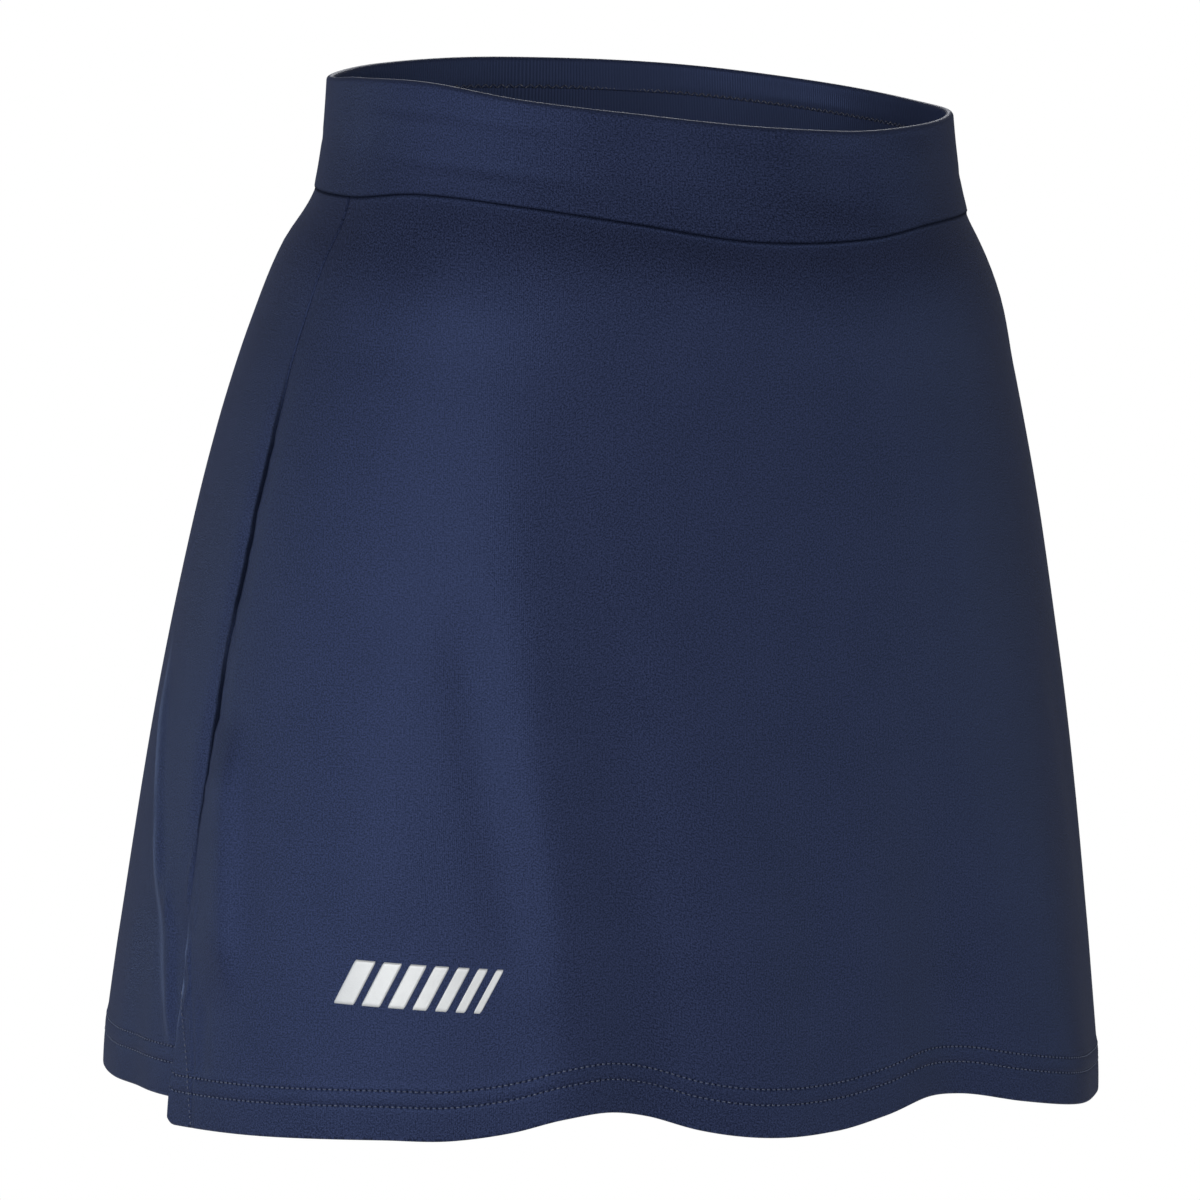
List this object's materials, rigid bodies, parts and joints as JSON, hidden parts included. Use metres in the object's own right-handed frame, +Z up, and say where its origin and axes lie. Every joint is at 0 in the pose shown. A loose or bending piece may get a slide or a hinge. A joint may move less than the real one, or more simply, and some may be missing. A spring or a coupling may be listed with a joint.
{
  "type": "field hockey skirt",
  "caption": "Flared knit sports skirt in its open worn form, with a folded waistband, a vent at one side seam and an open waist and hem.",
  "frame": {"origin": "centre of the waist opening, at the level of the waistband's top edge at the sides", "axes": "+Z up out of the waist, front of the skirt towards -Y, wearer's left towards +X"},
  "size_m": [0.4068, 0.3205, 0.4034],
  "materials": {
    "navy_knit": "navy double-knit polyester, soft sheen",
    "navy_band_knit": "navy double-knit polyester, folded band",
    "navy_inside_knit": "inner face of the navy knit, finely ribbed",
    "silver_film": "satin silver heat-transfer film"
  },
  "bodies": {
    "root": {"front_panel": "navy_knit", "back_panel": "navy_knit", "waistband": "navy_band_knit", "waistband_facing": "navy_inside_knit", "transfer_bar_1": "silver_film", "transfer_bar_2": "silver_film", "transfer_bar_3": "silver_film", "transfer_bar_4": "silver_film", "transfer_bar_5": "silver_film", "transfer_bar_6": "silver_film", "transfer_bar_7": "silver_film"}
  },
  "joints": []
}
